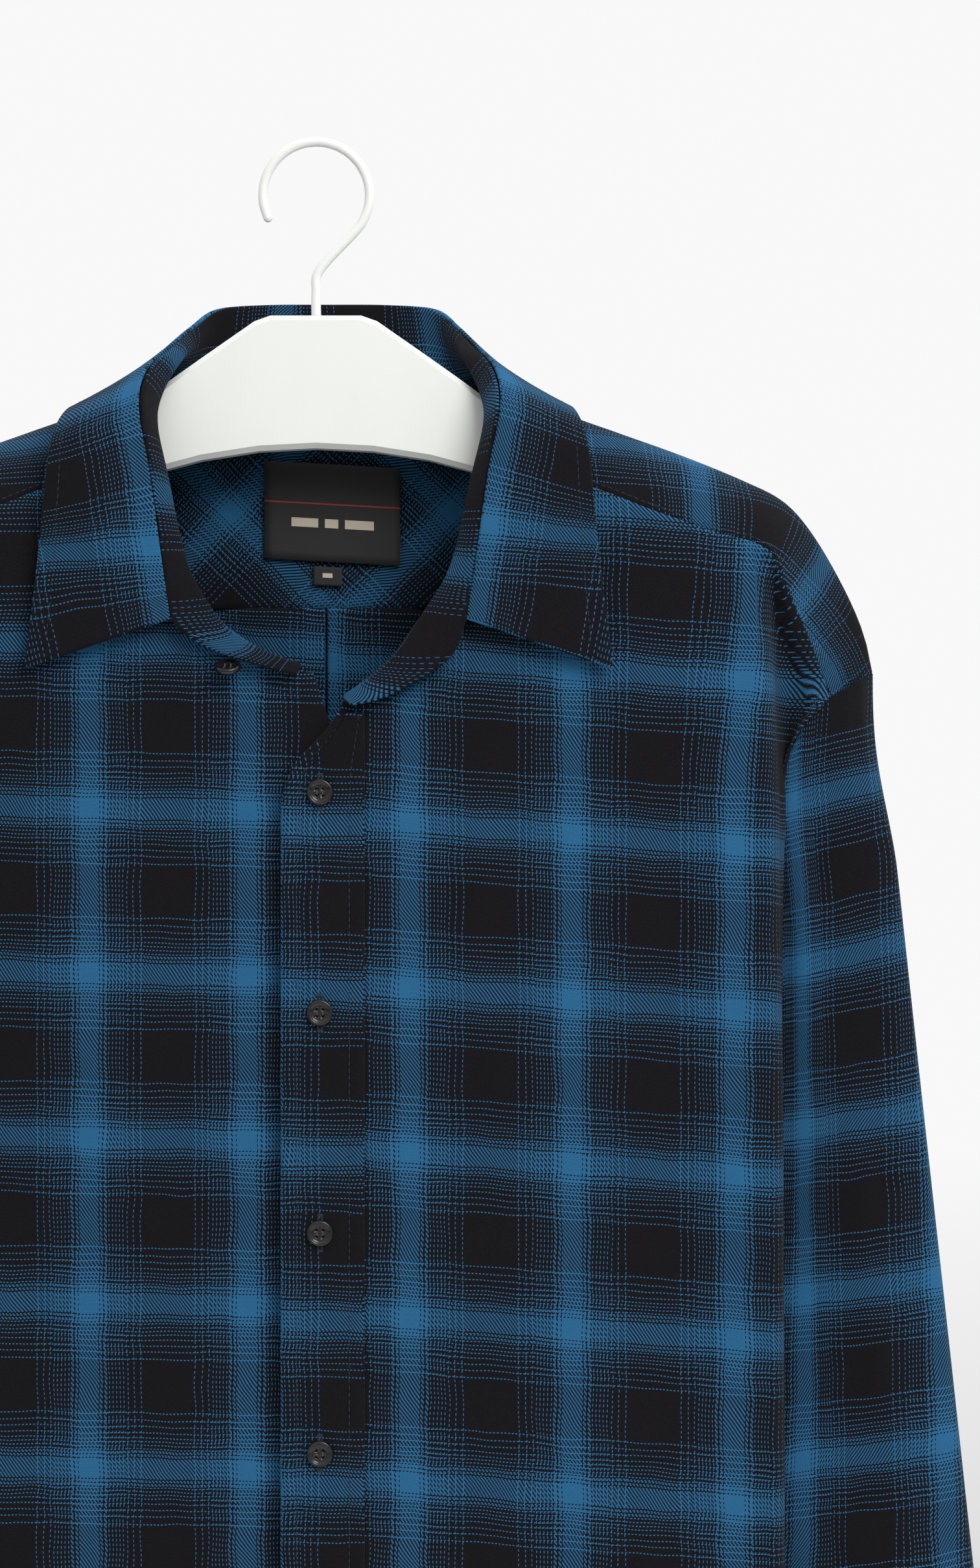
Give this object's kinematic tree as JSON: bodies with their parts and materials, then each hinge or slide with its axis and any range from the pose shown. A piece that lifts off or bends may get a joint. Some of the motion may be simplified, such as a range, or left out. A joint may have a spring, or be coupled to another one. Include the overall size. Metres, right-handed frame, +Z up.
{
  "type": "flannel shirt on hanger",
  "caption": "Long-sleeved flannel shirt in a shadow plaid, hanging flat on a plain white hanger with a wire hook.",
  "frame": {"origin": "inside top of the hanger's hook, where a rail carries it", "axes": "+X to the viewer's right as worn left side, +Y through the shirt to its back, +Z up"},
  "size_m": [0.616, 0.0948, 0.8762],
  "materials": {
    "cloth": "brushed cotton twill in a blue and black shadow plaid",
    "label": "dense black woven label with plain bars",
    "board": "smooth white painted hanger board",
    "hook": "white coated steel wire",
    "button": "polished black four-hole button"
  },
  "bodies": {
    "root": {"hanger_board": "board", "hanger_hook": "hook", "label_main": "label", "label_size": "label", "front_left": "cloth", "front_right": "cloth", "placket_left": "cloth", "back_panel": "cloth", "yoke_outer": "cloth", "yoke_inner": "cloth", "collar_stand": "cloth", "collar_leaf": "cloth", "sleeve_left": "cloth", "sleeve_right": "cloth", "cuff_left": "cloth", "cuff_right": "cloth", "sleeve_placket_left": "cloth", "sleeve_placket_right": "cloth", "button_front_1": "button", "button_front_2": "button", "button_front_3": "button", "button_front_4": "button", "button_front_5": "button", "button_front_6": "button", "button_stand": "button", "button_cuff_left": "button", "button_cuff_right": "button", "button_sleeve_left": "button", "button_sleeve_right": "button"}
  },
  "joints": []
}
